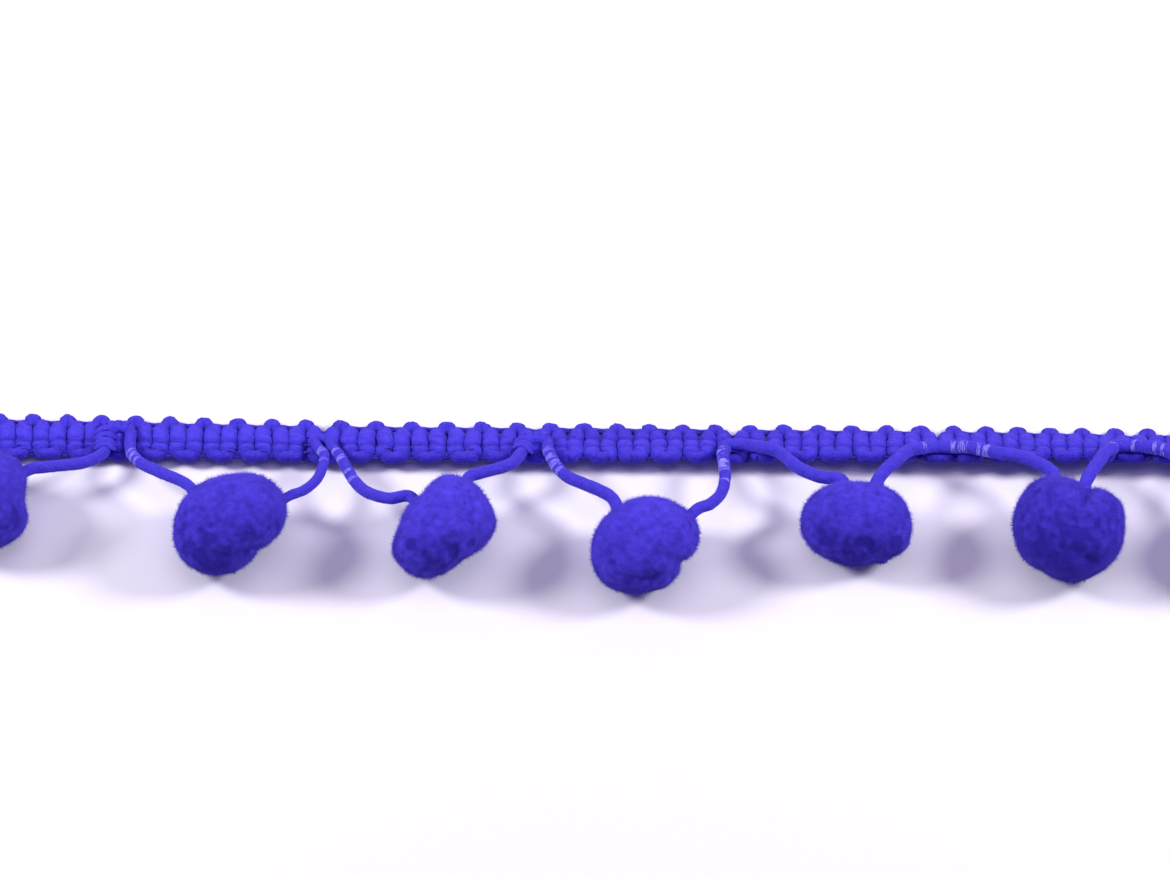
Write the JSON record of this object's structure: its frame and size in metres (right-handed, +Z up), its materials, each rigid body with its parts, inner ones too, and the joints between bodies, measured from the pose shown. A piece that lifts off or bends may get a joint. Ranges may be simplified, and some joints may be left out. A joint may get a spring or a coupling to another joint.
{
  "type": "pompom fringe trim",
  "caption": "Cut length of pompom fringe: a narrow knitted heading tape with a looped carrier cord that holds a row of small round pompoms along one edge.",
  "frame": {"origin": "centre of the bounding box's base, on the surface that the trim lies on", "axes": "+X along the heading tape, +Y from the pompoms towards the heading, +Z up from the surface"},
  "size_m": [0.1406, 0.0219, 0.0092],
  "materials": {
    "tape_yarn": "royal blue bulky yarn, knitted, matte with a soft sheen",
    "cord_yarn": "royal blue twisted cord with pale whipped bands near the tape",
    "pompom_pile": "royal blue shorn pile, dense and fuzzy"
  },
  "bodies": {
    "root": {"heading_tape": "tape_yarn", "carrier_cord": "cord_yarn", "pompom_1": "pompom_pile", "pompom_2": "pompom_pile", "pompom_3": "pompom_pile", "pompom_4": "pompom_pile", "pompom_5": "pompom_pile", "pompom_6": "pompom_pile", "pompom_7": "pompom_pile"}
  },
  "joints": []
}
